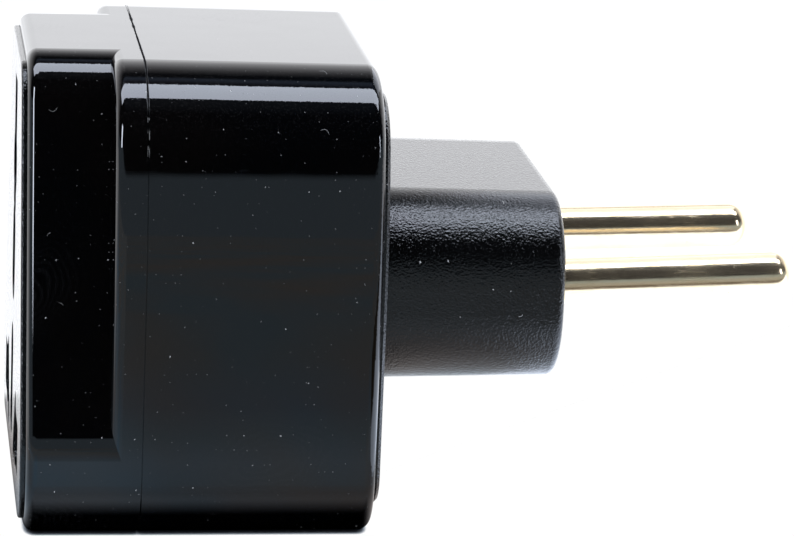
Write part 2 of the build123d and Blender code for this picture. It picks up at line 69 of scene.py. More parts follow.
# %% Landmarks
MM = 0.001
cover_low, cover_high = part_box("front_cover")
housing_low, housing_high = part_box("rear_housing")
block_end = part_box("plug_base")[1].x
body_mid = Vector((0.0, 0.0, cover_high.z / 2))
print("case height in mm", round(cover_high.z / MM, 2))

# %% [markdown]
# ## Camera
#
# The photograph was taken from the side, a little towards the socket face and a little above, with a
# long lens. Yaw, pitch and roll were fitted to the pins, the plug block and the body outlines. A camera
# looks along its own -Z, so its axes are built from those three angles and written as a matrix. The
# lens shift moves the picture by the last two pixels.

# %% Camera
PHOTO_WIDTH = 794
FOCAL_PIXELS = 3788.5
SENSOR = 36.0
LENS_SHIFT = -0.0026
NEAR_CLIP = 10 * MM
camera_place = Vector((-46.8, -327.2, 105.8)) * MM
camera_yaw = math.radians(8.185)
camera_pitch = math.radians(14.647)
camera_roll = math.radians(2.487)

forward = Vector(
    (
        math.sin(camera_yaw) * math.cos(camera_pitch),
        math.cos(camera_yaw) * math.cos(camera_pitch),
        -math.sin(camera_pitch),
    )
)
level_right = Vector((math.cos(camera_yaw), -math.sin(camera_yaw), 0.0))
level_up = level_right.cross(forward)
right = math.cos(camera_roll) * level_right + math.sin(camera_roll) * level_up
up = math.cos(camera_roll) * level_up - math.sin(camera_roll) * level_right

camera_data = bpy.data.cameras.new("photo_camera")
camera_data.sensor_width = SENSOR
camera_data.lens = FOCAL_PIXELS * SENSOR / PHOTO_WIDTH
camera_data.shift_y = LENS_SHIFT
camera_data.clip_start = NEAR_CLIP
camera = bpy.data.objects.new("photo_camera", camera_data)
scene.collection.objects.link(camera)
axes = Matrix((right, up, -forward)).transposed().to_4x4()
camera.matrix_world = Matrix.Translation(camera_place) @ axes
scene.camera = camera
scene.view_settings.view_transform = "Standard"
print("lens in mm", round(camera_data.lens, 1))

# %% [markdown]
# ## Helpers for shader nodes
#
# A node tree is easier to read when a node and its links are made in one call. `put` makes a node,
# sets the values of its sockets by name, and links the sockets whose value is another node's output.
# The others are short names for the sums, steps and mixtures that every finish uses.


# %% Node helpers
def put(tree, kind, values=None, **settings):
    node = tree.nodes.new(kind)
    for key, value in settings.items():
        setattr(node, key, value)
    for key, value in (values or {}).items():
        if isinstance(value, bpy.types.NodeSocket):
            tree.links.new(value, node.inputs[key])
        else:
            node.inputs[key].default_value = value
    return node


def math_node(tree, operation, a, b=0.0, c=0.0, clamp=False):
    values = {0: a, 1: b, 2: c}
    return put(tree, "ShaderNodeMath", values, operation=operation, use_clamp=clamp).outputs[0]


def times(tree, a, b):
    return math_node(tree, "MULTIPLY", a, b)


def add_share(tree, base, mask, share, clamp=False):
    return math_node(tree, "MULTIPLY_ADD", mask, share, base, clamp=clamp)


def rest_of(tree, mask):
    return math_node(tree, "SUBTRACT", 1.0, mask)


def vector_node(tree, operation, values):
    return put(tree, "ShaderNodeVectorMath", values, operation=operation).outputs[0]


def parts_of(tree, vector):
    return put(tree, "ShaderNodeSeparateXYZ", {0: vector}).outputs


def ramp_node(tree, factor, stops):
    node = put(tree, "ShaderNodeValToRGB", {"Fac": factor})
    elements = node.color_ramp.elements
    while len(elements) < len(stops):
        elements.new(0.5)
    for element, (place, colour) in zip(elements, stops):
        element.position = place
        element.color = (*colour, 1.0)
    return node.outputs["Color"]


def smooth_step(tree, value, low, high):
    values = {"Value": value, "From Min": low, "From Max": high}
    return put(tree, "ShaderNodeMapRange", values, interpolation_type="SMOOTHSTEP").outputs["Result"]


def mix_colour(tree, factor, a, b):
    values = {"Factor": factor, "A": a, "B": b}
    return put(tree, "ShaderNodeMix", values, data_type="RGBA").outputs["Result"]


print("node helpers ready")

# %% [markdown]
# ## Room
#
# A gloss black moulding shows the room, not its own colour. So the room is drawn by elevation: a bright
# backdrop behind the object that fades upwards, with a faint bluish strip below the overhead softbox,
# and in front a dim wall that stops low, with the dark above it. Both are colour ramps on the height of
# a direction.

# %% Room
NIGHT = (0.012, 0.014, 0.018)


def elevation_place(degrees):
    return (math.sin(math.radians(degrees)) + 1.0) / 2.0


world = bpy.data.worlds.new("studio_room")
scene.world = world
world.use_nodes = True
tree = world.node_tree
tree.nodes.clear()
direction = parts_of(tree, put(tree, "ShaderNodeTexCoord").outputs["Generated"])
height = add_share(tree, 0.5, direction["Z"], 0.5)
backdrop = ramp_node(
    tree,
    height,
    [
        (elevation_place(-20), (0.9, 0.92, 0.95)),
        (elevation_place(12), (0.96, 0.97, 1.00)),
        (elevation_place(22), (0.66, 0.66, 0.68)),
        (elevation_place(35), (0.42, 0.42, 0.44)),
        (elevation_place(48), (0.14, 0.14, 0.15)),
        (elevation_place(57), NIGHT),
        (elevation_place(62), NIGHT),
        (elevation_place(66), (0.10, 0.13, 0.19)),
        (elevation_place(69), (0.09, 0.11, 0.16)),
        (elevation_place(73), (0.03, 0.035, 0.05)),
    ],
)
front = ramp_node(
    tree,
    height,
    [
        (elevation_place(-20), (0.84, 1.0, 1.16)),
        (elevation_place(11.0), (0.80, 1.0, 1.18)),
        (elevation_place(12.2), (0.03, 0.03, 0.03)),
        (elevation_place(60), (0.04, 0.04, 0.05)),
        (elevation_place(75), (0.16, 0.19, 0.24)),
    ],
)
print("horizon at", elevation_place(0.0), "of the ramp, softbox edge near", round(elevation_place(79.5), 3))

# %% [markdown]
# ## Light of the room
#
# The front and back of the room meet softly at the sides, so no edge shows in a reflection. Camera rays
# see plain white instead, which keeps the background of every view pale.

# %% Light of the room
BACKDROP_GLOW = 2.0
FRONT_GLOW = 0.44
WHITE = (1.0, 1.0, 1.0, 1.0)
WHITE_GLOW = 1.1

behind = smooth_step(tree, direction["Y"], -0.05, 0.45)
back_light = put(tree, "ShaderNodeBackground", {"Color": backdrop, "Strength": BACKDROP_GLOW})
front_light = put(tree, "ShaderNodeBackground", {"Color": front, "Strength": FRONT_GLOW})
halves = put(tree, "ShaderNodeMixShader", {0: behind, 1: front_light.outputs[0], 2: back_light.outputs[0]})
plain = put(tree, "ShaderNodeBackground", {"Color": WHITE, "Strength": WHITE_GLOW})
from_camera = put(tree, "ShaderNodeLightPath").outputs["Is Camera Ray"]
seen = put(tree, "ShaderNodeMixShader", {0: from_camera, 1: halves.outputs[0], 2: plain.outputs[0]})
put(tree, "ShaderNodeOutputWorld", {"Surface": seen.outputs[0]})
print("room ready")

# %% [markdown]
# ## Softboxes
#
# One long softbox hangs overhead. Its reflection is the bright band along the shoulders and the stripe
# on the pins. A small card close behind the pins fills their upper side. Two slim boxes stand at the
# front corners, and draw the short upright glints on the rounded edges. All are a little blue.


# %% Softboxes
def softbox(name, size, place, aim, power):
    data = bpy.data.lights.new(name, "AREA")
    data.shape = "RECTANGLE"
    data.size, data.size_y = size
    data.energy = power
    data.color = COOL
    light = bpy.data.objects.new(name, data)
    scene.collection.objects.link(light)
    light.location = place
    light.rotation_euler = (Vector(aim) - Vector(place)).to_track_quat("-Z", "Y").to_euler()
    return light


COOL = (0.86, 0.93, 1.08)
softbox("overhead_softbox", (0.9, 0.2), (0.0, 0.004, 0.54), (0.0, 0.004, 0.0), 5.0)
softbox("pin_card", (0.05, 0.061), (0.043, 0.037, 0.085), (0.043, -0.017, 0.022), 0.0145)
softbox("left_strip", (0.10, 0.26), (-0.52, -0.34, 0.28), body_mid, 1.7)
softbox("right_strip", (0.06, 0.2), (0.52, -0.34, 0.24), body_mid, 0.6)

# %% [markdown]
# ## Floor
#
# The adapter stands on a white table. One large flat square is enough for it.

# %% Floor
TABLE_HALF = 20.0
floor_mesh = bpy.data.meshes.new("floor")
shape = bmesh.new()
bmesh.ops.create_grid(shape, x_segments=1, y_segments=1, size=TABLE_HALF)
shape.to_mesh(floor_mesh)
shape.free()
floor = bpy.data.objects.new("floor", floor_mesh)
scene.collection.objects.link(floor)
print("table in metres", 2 * TABLE_HALF)

# %% [markdown]
# ## Shades of the table
#
# The gloss side of the case mirrors the table in front of it. So a reflection is painted on the table, which only
# reflections see: a ramp of painted light and shade by its distance ahead, pale near the case, then blue-grey,
# then grey. A stretched noise adds cool and warm clouds of painted tint, which give the side its faint teal and
# brown patches.

# %% Shades of the table
PAINTED_REFLECTION_REACH = 80 * MM
floor_finish = bpy.data.materials.new("white_table")
floor_finish.use_nodes = True
floor_finish.cycles.emission_sampling = "NONE"
tree = floor_finish.node_tree
tree.nodes.clear()
place = put(tree, "ShaderNodeTexCoord").outputs["Object"]
spot = parts_of(tree, place)
ahead = math_node(tree, "MULTIPLY", spot["Y"], -1.0 / PAINTED_REFLECTION_REACH, clamp=True)
# Painted light and shade on the table, by distance ahead, seen only in reflections.
painted_reflection = ramp_node(
    tree,
    ahead,
    [
        (0.0, (0.95, 1.0, 1.08)),
        (0.20, (0.85, 0.92, 1.02)),
        (0.29, (0.60, 0.66, 0.75)),
        (0.36, (0.50, 0.56, 0.64)),
        (0.50, (0.52, 0.68, 0.84)),
        (0.56, (0.54, 0.70, 0.87)),
        (0.66, (0.44, 0.58, 0.70)),
        (0.78, (0.40, 0.48, 0.58)),
        (1.0, (0.42, 0.46, 0.49)),
    ],
)
uneven = put(tree, "ShaderNodeMapping", {"Vector": place, "Scale": (34.0, 13.0, 1.0)})
cloudy = put(tree, "ShaderNodeTexNoise", {"Vector": uneven.outputs[0], "Scale": 1.0, "Detail": 3.0})
painted_tint = ramp_node(tree, cloudy.outputs[0], [(0.36, (0.84, 1.0, 1.10)), (0.62, (1.14, 0.97, 0.86))])
painted_reflection = vector_node(tree, "MULTIPLY", {0: painted_reflection, 1: painted_tint})
print("table shades reach in mm", round(PAINTED_REFLECTION_REACH / MM))

# %% [markdown]
# ## Table by the pins and behind
#
# The pins mirror more of the table than the case does. Near them bright light is painted on the table, which gives
# their cream lower half, and further out brown shade is painted, for the dark band along their middle. The
# photograph looks a little to the right, so the border between case and pins leans that way too. A little more
# light is painted at the socket end, and white light is painted behind the object.

# %% Table by the pins and behind
VIEW_LEAN = 0.14
PAINTED_BROWN_SHADE = (0.13, 0.105, 0.075, 1.0)
PAINTED_BRIGHT_LIGHT = (2.1, 2.35, 2.8, 1.0)
PAINTED_WHITE_LIGHT = (1.7, 1.72, 1.78, 1.0)
SOCKET_END_PAINTED_GAIN = 0.3

# Painted brown shade and bright light below the pins, more painted light at the socket end, and painted white
# light behind.
along = add_share(tree, spot["X"], spot["Y"], VIEW_LEAN)
below_pins = smooth_step(tree, along, block_end - 1 * MM, block_end + 2 * MM)
not_far = rest_of(tree, smooth_step(tree, ahead, 0.9, 1.0))
painted_reflection = mix_colour(tree, times(tree, below_pins, not_far), painted_reflection, PAINTED_BROWN_SHADE)
near_pins = rest_of(tree, smooth_step(tree, ahead, 0.45, 0.6))
painted_reflection = mix_colour(tree, times(tree, below_pins, near_pins), painted_reflection, PAINTED_BRIGHT_LIGHT)
socket_end = rest_of(tree, smooth_step(tree, spot["X"], -28 * MM, -18 * MM))
painted_reflection = vector_node(tree, "SCALE", {0: painted_reflection, "Scale": add_share(tree, 1.0, socket_end, SOCKET_END_PAINTED_GAIN)})
seen_behind = smooth_step(tree, spot["Y"], 0.0, 30 * MM)
painted_reflection = mix_colour(tree, seen_behind, painted_reflection, PAINTED_WHITE_LIGHT)
print("pins' table starts at X in mm", round(block_end / MM, 2))

# %% [markdown]
# ## Shadow of the case
#
# Under the case no light reaches the table, and the case's lower edge mirrors that dark print. Its mask
# is the distance from a rectangle as large as the case: the larger of the distances past its sides and
# past its ends.

# %% Shadow of the case
SHADOW_REACH = 4.5 * MM
SHADOW_INSET = 0.5 * MM
case_middle = (cover_low.x + housing_high.x) / 2
case_half_length = (housing_high.x - cover_low.x) / 2

off_side = math_node(tree, "SUBTRACT", math_node(tree, "ABSOLUTE", spot["Y"]), housing_high.y)
from_middle = math_node(tree, "ABSOLUTE", math_node(tree, "SUBTRACT", spot["X"], case_middle))
off_end = math_node(tree, "SUBTRACT", from_middle, case_half_length)
off_case = math_node(tree, "MAXIMUM", off_side, off_end)
clear = smooth_step(tree, off_case, -SHADOW_INSET, SHADOW_REACH)
painted_reflection = vector_node(tree, "SCALE", {0: painted_reflection, "Scale": clear})
print("case print in mm", round(2 * case_half_length / MM, 1), "by", round(2 * housing_high.y / MM, 1))

# %% [markdown]
# ## Surface of the table
#
# The table is white enough to disappear, so what the camera sees of it simply glows white, darkened
# where the adapter almost touches it. Ambient occlusion over a short distance finds that thin line. A
# reflection sees the shades made above, and all other light meets plain white paint.

# %% Surface of the table
CONTACT_REACH = 0.5 * MM
CAMERA_WHITE = (1.02, 1.02, 1.02, 1.0)
PAINT_WHITE = (0.9, 0.9, 0.9, 1.0)

path = put(tree, "ShaderNodeLightPath")
lit = mix_colour(tree, path.outputs["Is Glossy Ray"], CAMERA_WHITE, painted_reflection)
contact = put(tree, "ShaderNodeAmbientOcclusion", {"Distance": CONTACT_REACH}, samples=8)
shade = ramp_node(
    tree,
    contact.outputs["AO"],
    [
        (0.0, (0.0, 0.0, 0.0)),
        (0.35, (0.01, 0.012, 0.016)),
        (0.62, (0.30, 0.34, 0.40)),
        (0.82, (1.0, 1.0, 1.0)),
    ],
)
lit = vector_node(tree, "MULTIPLY", {0: lit, 1: shade})
glow = put(tree, "ShaderNodeEmission", {"Color": lit})
paint = put(tree, "ShaderNodeBsdfDiffuse", {"Color": PAINT_WHITE})
shown = math_node(tree, "MAXIMUM", path.outputs["Is Camera Ray"], path.outputs["Is Glossy Ray"])
surface = put(tree, "ShaderNodeMixShader", {0: shown, 1: paint.outputs[0], 2: glow.outputs[0]})
put(tree, "ShaderNodeOutputMaterial", {"Surface": surface.outputs[0]})
floor_mesh.materials.append(floor_finish)
print("floor ready")

# %% [markdown]
# ## Shared effects as node groups
#
# Dust, lint, scratches, grain and wear appear on more than one finish. Each is a node group with named
# inputs, so a finish sets its own size and amount. These helpers make a group with its sockets, place
# it, and scatter points for dust, hairs and finger marks: a Voronoi pattern gives one point to each
# cell, and a random colour to decide by.


# %% Group helpers
def new_group(name, inputs, outputs):
    group = bpy.data.node_groups.new(name, "ShaderNodeTree")
    for label, kind, value in inputs:
        socket = group.interface.new_socket(label, in_out="INPUT", socket_type="NodeSocket" + kind)
        if value is not None:
            socket.default_value = value
    for label, kind in outputs:
        group.interface.new_socket(label, in_out="OUTPUT", socket_type="NodeSocket" + kind)
    given = group.nodes.new("NodeGroupInput").outputs
    result = group.nodes.new("NodeGroupOutput").inputs
    return group, given, result


def use_group(tree, group, values):
    return put(tree, "ShaderNodeGroup", values, node_tree=group).outputs


def scatter(tree, flat, per_metre, randomness=1.0):
    values = {"Vector": flat, "Scale": per_metre, "Randomness": randomness}
    cell = put(tree, "ShaderNodeTexVoronoi", values, voronoi_dimensions="2D")
    chance = put(tree, "ShaderNodeSeparateColor", {0: cell.outputs["Color"]})
    return cell.outputs, chance.outputs


def turned_from_point(tree, flat, cell, angle):
    local = vector_node(tree, "SUBTRACT", {0: flat, 1: cell["Position"]})
    values = {"Vector": local, "Angle": angle}
    return put(tree, "ShaderNodeVectorRotate", values, rotation_type="Z_AXIS").outputs[0]


print("group helpers ready")

# %% [markdown]
# ## Unfolded place
#
# Dust and hairs lie flat on a surface. The nodes have no UV maps, so this group turns a point into two
# coordinates of the face it is on: along and up for the sides, along and across for the top, and across
# and up for the ends.

# %% Unfolded place
MOSTLY = 0.7
unfolded_place, given, result = new_group(
    "unfolded_place", [("Place", "Vector", None), ("Facing", "Vector", None)], [("Flat", "Vector")]
)
tree = unfolded_place
spot = parts_of(tree, given["Place"])
facing = parts_of(tree, given["Facing"])
on_top = math_node(tree, "GREATER_THAN", math_node(tree, "ABSOLUTE", facing["Z"]), MOSTLY)
on_end = math_node(tree, "GREATER_THAN", math_node(tree, "ABSOLUTE", facing["X"]), MOSTLY)
first = put(tree, "ShaderNodeMix", {0: on_end, 2: spot["X"], 3: spot["Y"]})
second = put(tree, "ShaderNodeMix", {0: on_top, 2: spot["Z"], 3: spot["Y"]})
flat = put(tree, "ShaderNodeCombineXYZ", {"X": first.outputs[0], "Y": second.outputs[0]})
tree.links.new(flat.outputs[0], result["Flat"])
print("group", tree.name)

# %% [markdown]
# ## Dust specks
#
# Dust is a scatter of dots of uneven size. The random colour of a cell decides whether it holds a speck
# and how large that is, and a fine noise makes its outline ragged. Size is a share of a cell's width.

# %% Dust specks
dust_specks, given, result = new_group(
    "dust_specks",
    [
        ("Flat", "Vector", None),
        ("Per Metre", "Float", 400.0),
        ("Size", "Float", 0.05),
        ("Share", "Float", 0.5),
    ],
    [("Mask", "Float")],
)
tree = dust_specks
cell, chance = scatter(tree, given["Flat"], given["Per Metre"])
radius = times(tree, given["Size"], add_share(tree, 0.3, chance[0], 0.7))
rag = put(tree, "ShaderNodeTexNoise", {"Vector": given["Flat"], "Scale": 6000.0}, noise_dimensions="2D")
ragged = times(tree, cell["Distance"], add_share(tree, -0.2, rag.outputs[0], 2.4))
dot = rest_of(tree, smooth_step(tree, ragged, times(tree, radius, 0.3), radius))
held = math_node(tree, "LESS_THAN", chance[1], given["Share"])
tree.links.new(times(tree, dot, held), result["Mask"])
print("group", tree.name)

# %% [markdown]
# ## Lint hairs
#
# A hair is a short bent line, and each cell holds at most one. The place is measured from the cell's
# point and turned by a random angle, and the hair is where that lies close to a shallow curve.

# %% Lint hairs
STRONGEST_BEND = 2.6
lint_hairs, given, result = new_group(
    "lint_hairs",
    [
        ("Flat", "Vector", None),
        ("Per Metre", "Float", 160.0),
        ("Length", "Float", 0.0008),
        ("Thickness", "Float", 0.00005),
        ("Share", "Float", 0.3),
    ],
    [("Mask", "Float")],
)
tree = lint_hairs
cell, chance = scatter(tree, given["Flat"], given["Per Metre"])
angle = times(tree, chance[0], 2 * math.pi)
line = parts_of(tree, turned_from_point(tree, given["Flat"], cell, angle))
lean = math_node(tree, "SUBTRACT", chance[1], 0.5)
square = math_node(tree, "POWER", line["X"], 2.0)
bend = math_node(tree, "DIVIDE", times(tree, lean, square), given["Length"])
bend = times(tree, bend, STRONGEST_BEND)
off_line = math_node(tree, "ABSOLUTE", math_node(tree, "SUBTRACT", line["Y"], bend))
core = times(tree, given["Thickness"], 0.5)
thin = rest_of(tree, smooth_step(tree, off_line, core, given["Thickness"]))
reach = times(tree, given["Length"], add_share(tree, 0.3, chance[1], 0.7))
within = math_node(tree, "LESS_THAN", math_node(tree, "ABSOLUTE", line["X"]), reach)
held = math_node(tree, "LESS_THAN", chance[2], given["Share"])
tree.links.new(times(tree, times(tree, thin, within), held), result["Mask"])
print("group", tree.name)

# %% [markdown]
# ## Finger marks
#
# A handled gloss surface keeps a few prints: fine ridges in an oval patch. The ridges are rings round a
# cell's point, shaken by noise, and they fade out at the patch's edge.

# %% Finger marks
FINGER_OVAL = (1.0, 0.6, 1.0)
RING_SHAKE = 1.6 * MM
finger_marks, given, result = new_group(
    "finger_marks",
    [
        ("Flat", "Vector", None),
        ("Per Metre", "Float", 50.0),
        ("Ridge", "Float", 0.00045),
        ("Patch", "Float", 0.005),
        ("Share", "Float", 0.6),
    ],
    [("Mask", "Float")],
)
tree = finger_marks
cell, chance = scatter(tree, given["Flat"], given["Per Metre"], 0.8)
turned = turned_from_point(tree, given["Flat"], cell, times(tree, chance[0], math.pi))
oval = put(tree, "ShaderNodeVectorMath", {0: turned, 1: FINGER_OVAL}, operation="MULTIPLY")
shake = put(
    tree,
    "ShaderNodeTexNoise",
    {"Vector": given["Flat"], "Scale": 260.0, "Detail": 1.0},
    noise_dimensions="2D",
)
far = put(tree, "ShaderNodeVectorMath", {0: oval.outputs[0]}, operation="LENGTH").outputs["Value"]
ring = add_share(tree, far, shake.outputs[0], RING_SHAKE)
turns = math_node(tree, "DIVIDE", times(tree, ring, 2 * math.pi), given["Ridge"])
ridge = smooth_step(tree, math_node(tree, "SINE", turns), -0.2, 0.9)
patch = rest_of(tree, smooth_step(tree, far, times(tree, given["Patch"], 0.35), given["Patch"]))
held = math_node(tree, "LESS_THAN", chance[1], given["Share"])
tree.links.new(times(tree, times(tree, ridge, patch), held), result["Mask"])
print("group", tree.name)

# %% [markdown]
# ## Hairline scratches
#
# Scratches, drawing lines and the rolling lines of strip metal are all thin and long. Noise stretched
# along one direction gives them: the scratch is where the noise crosses its middle value.

# %% Hairline scratches
hairline_scratches, given, result = new_group(
    "hairline_scratches",
    [
        ("Place", "Vector", None),
        ("Stretch", "Vector", (60.0, 1800.0, 1800.0)),
        ("Thin", "Float", 0.03),
        ("Broken", "Float", 0.5),
    ],
    [("Mask", "Float")],
)
tree = hairline_scratches
stretched = vector_node(tree, "MULTIPLY", {0: given["Place"], 1: given["Stretch"]})
line_noise = put(tree, "ShaderNodeTexNoise", {"Vector": stretched, "Scale": 1.0, "Detail": 1.0})
middle = math_node(tree, "ABSOLUTE", math_node(tree, "SUBTRACT", line_noise.outputs[0], 0.5))
thin = rest_of(tree, smooth_step(tree, middle, 0.0, given["Thin"]))
gaps = put(tree, "ShaderNodeTexNoise", {"Vector": given["Place"], "Scale": 420.0, "Detail": 2.0})
kept = smooth_step(tree, gaps.outputs[0], given["Broken"], math_node(tree, "ADD", given["Broken"], 0.12))
tree.links.new(times(tree, thin, kept), result["Mask"])
print("group", tree.name)

# %% [markdown]
# ## Spark grain
#
# A spark-eroded mould leaves fine pits and peaks of many sizes. A noise and a soft cell pattern add up
# to that height, and the highest peaks are given out too, because they catch the light.

# %% Spark grain
spark_grain, given, result = new_group(
    "spark_grain",
    [("Place", "Vector", None), ("Per Metre", "Float", 3000.0)],
    [("Height", "Float"), ("Peaks", "Float")],
)
tree = spark_grain
values = {"Vector": given["Place"], "Scale": given["Per Metre"], "Detail": 3.0}
coarse = put(tree, "ShaderNodeTexNoise", values)
values = {"Vector": given["Place"], "Scale": times(tree, given["Per Metre"], 1.3), "Smoothness": 0.6}
cells = put(tree, "ShaderNodeTexVoronoi", values, feature="SMOOTH_F1")
pits = times(tree, cells.outputs["Distance"], 0.45)
tree.links.new(math_node(tree, "ADD", coarse.outputs[0], pits), result["Height"])
tree.links.new(smooth_step(tree, coarse.outputs[0], 0.54, 0.68), result["Peaks"])
print("group", tree.name)

# %% [markdown]
# ## Edge wear
#
# Corners lose their polish first. A Bevel node gives the normal that a slightly rounder edge would
# have, and where that differs from the surface's own normal, the point is close to an edge. A noise
# breaks the worn line up, because real wear is uneven.

# %% Edge wear
edge_wear, given, result = new_group(
    "edge_wear",
    [("Place", "Vector", None), ("Radius", "Float", 0.0003), ("Amount", "Float", 1.0)],
    [("Mask", "Float")],
)
tree = edge_wear
rounder = put(tree, "ShaderNodeBevel", {"Radius": given["Radius"]}, samples=6)
own = put(tree, "ShaderNodeNewGeometry").outputs["Normal"]
alike = put(tree, "ShaderNodeVectorMath", {0: rounder.outputs[0], 1: own}, operation="DOT_PRODUCT")
near_edge = rest_of(tree, smooth_step(tree, alike.outputs["Value"], 0.7, 0.98))
chips = put(tree, "ShaderNodeTexNoise", {"Vector": given["Place"], "Scale": 1600.0, "Detail": 3.0})
ragged = smooth_step(tree, chips.outputs[0], 0.42, 0.62)
tree.links.new(times(tree, times(tree, near_edge, ragged), given["Amount"]), result["Mask"])
print("group", tree.name)

# %% [markdown]
# ## Start of a finish
#
# Every finish starts from one Principled shader, the point in the object's own frame and the same
# point unfolded on its face. `upward` tells how far a surface faces the ceiling, where dust settles.
# `mask_of` places one of the groups above and gives its mask, and `connect` ends a finish with its
# colour, roughness and relief.

# %% Finish helpers
PLASTIC_IOR = 1.5
finishes = {}


def new_finish(slot, metallic=0.0):
    finish = bpy.data.materials.new(slot)
    finish.use_nodes = True
    tree = finish.node_tree
    shader = tree.nodes["Principled BSDF"]
    shader.inputs["Metallic"].default_value = metallic
    shader.inputs["IOR"].default_value = PLASTIC_IOR
    finishes[slot] = finish
    coordinates = put(tree, "ShaderNodeTexCoord").outputs
    given = {"Place": coordinates["Object"], "Facing": coordinates["Normal"]}
    flat = use_group(tree, unfolded_place, given)["Flat"]
    return tree, shader, coordinates["Object"], flat


def noise(tree, place, per_metre, detail):
    values = {"Vector": place, "Scale": per_metre, "Detail": detail}
    return put(tree, "ShaderNodeTexNoise", values).outputs[0]


def upward(tree):
    return parts_of(tree, put(tree, "ShaderNodeTexCoord").outputs["Normal"])["Z"]


def mask_of(tree, group, **values):
    named = {key.replace("_", " "): value for key, value in values.items()}
    return use_group(tree, group, named)["Mask"]


def connect(tree, shader, colour, roughness, height, relief):
    bump = put(tree, "ShaderNodeBump", {"Height": height, "Distance": relief, "Strength": 1.0})
    tree.links.new(colour, shader.inputs["Base Color"])
    tree.links.new(roughness, shader.inputs["Roughness"])
    tree.links.new(bump.outputs[0], shader.inputs["Normal"])


print("finish helpers ready")

# %% [markdown]
# ## Gloss black
#
# The two case mouldings come from a polished mould. Their black is very deep, so what shows is a faint
# cool and brown haze in patches, finger marks, and corners that have lost some polish. A powder of fine
# dust lies on what faces up. A plain black would hide all of that, so the colour is built up in layers,
# each mixed over the last by its mask.

# %% Gloss black
COOL_BLACK = (0.0002, 0.0003, 0.0005, 1.0)
BROWN_BLACK = (0.0008, 0.0006, 0.0006, 1.0)
GREASE = (0.0035, 0.0035, 0.0037, 1.0)
WORN_BLACK = (0.02, 0.02, 0.021, 1.0)
POWDER = (0.16, 0.15, 0.14, 1.0)

tree, shader, place, flat = new_finish("gloss_black")
patches = smooth_step(tree, noise(tree, place, per_metre=70.0, detail=3.0), 0.42, 0.62)
marks = mask_of(tree, finger_marks, Flat=flat)
worn = mask_of(tree, edge_wear, Place=place, Radius=0.25 * MM, Amount=0.5)
body = mix_colour(tree, patches, COOL_BLACK, BROWN_BLACK)
body = mix_colour(tree, times(tree, marks, 0.5), body, GREASE)
body = mix_colour(tree, times(tree, worn, 0.25), body, WORN_BLACK)
facing_up = upward(tree)
powder = smooth_step(tree, noise(tree, place, per_metre=5200.0, detail=2.0), 0.50, 0.75)
settled = times(tree, smooth_step(tree, facing_up, 0.1, 0.9), powder)
body = mix_colour(tree, times(tree, settled, 0.035), body, POWDER)
print("gloss_black colour ready")

# %% [markdown]
# ## The seam
#
# The cover and the housing meet in a hairline. On top its rims are dull and a little ragged, so they look darker
# than the gloss. Near the shoulder, pale bits in the gap are painted glints, coloured like dust. Both masks come
# from the distance along X to the middle of the gap.

# %% Seam
HALF_GAP = 0.05 * MM
RIM = 0.2 * MM
GLINT_RIM = 0.08 * MM
GLINT_FROM = 33.5 * MM
GLINT_TO = 37.5 * MM

spot = parts_of(tree, place)
from_seam = math_node(tree, "SUBTRACT", spot["X"], housing_low.x - HALF_GAP)
from_seam = math_node(tree, "ABSOLUTE", from_seam)
ragged = times(tree, noise(tree, place, per_metre=900.0, detail=3.0), RIM)
seam_rim = math_node(tree, "LESS_THAN", from_seam, ragged)
seam_rim = times(tree, seam_rim, smooth_step(tree, facing_up, 0.5, 0.8))
# Pale bits along the seam near the shoulder are painted glints.
glint_bits = smooth_step(tree, noise(tree, place, per_metre=1300.0, detail=2.0), 0.50, 0.56)
painted_seam_glints = times(tree, math_node(tree, "LESS_THAN", from_seam, GLINT_RIM), glint_bits)
near_shoulder = smooth_step(tree, spot["Z"], GLINT_FROM, GLINT_FROM + 1 * MM)
near_shoulder = times(tree, near_shoulder, math_node(tree, "LESS_THAN", spot["Z"], GLINT_TO))
painted_seam_glints = times(tree, painted_seam_glints, near_shoulder)
print("seam at X in mm", round((housing_low.x - HALF_GAP) / MM, 2))

# %% [markdown]
# ## Dust and relief on the gloss
#
# Every kind of dust, and the painted glints along the seam, is joined into one mask by taking the largest, because
# specks and hairs lie on each other without adding up. Dust and the painted glints are pale and dull. Finger
# marks, hairlines and worn edges mostly blur the reflection, so they go into the roughness. A slow swell keeps the
# flat faces from being perfect, and hairlines, specks and powder stand on it as relief.

# %% Dust and relief on the gloss
DUST_AND_GLINT_COLOUR = (0.42, 0.41, 0.39, 1.0)
POLISH = 0.02

lines = mask_of(tree, hairline_scratches, Place=place, Stretch=(45.0, 900.0, 2600.0), Broken=0.6)
specks = mask_of(tree, dust_specks, Flat=flat, Per_Metre=420.0, Size=0.032, Share=0.25)
fine = mask_of(tree, dust_specks, Flat=flat, Per_Metre=1500.0, Size=0.08, Share=0.16)
hairs = mask_of(tree, lint_hairs, Flat=flat, Length=0.45 * MM, Thickness=0.014 * MM, Share=0.08)
dust = specks
for kind, share in ((fine, 0.35), (hairs, 0.8), (painted_seam_glints, 0.5)):
    dust = math_node(tree, "MAXIMUM", dust, times(tree, kind, share), clamp=True)
colour = mix_colour(tree, dust, body, DUST_AND_GLINT_COLOUR)
rough = POLISH
for mask, share in ((marks, 0.10), (seam_rim, 0.7), (lines, 0.08), (worn, 0.25)):
    rough = add_share(tree, rough, mask, share)
rough = add_share(tree, rough, dust, 0.6, clamp=True)
height = noise(tree, place, per_metre=160.0, detail=1.0)
for mask, share in ((lines, -0.02), (dust, 0.6), (settled, 0.06)):
    height = add_share(tree, height, mask, share)
connect(tree, shader, colour, rough, height, relief=0.012 * MM)
print("finish", "gloss_black")

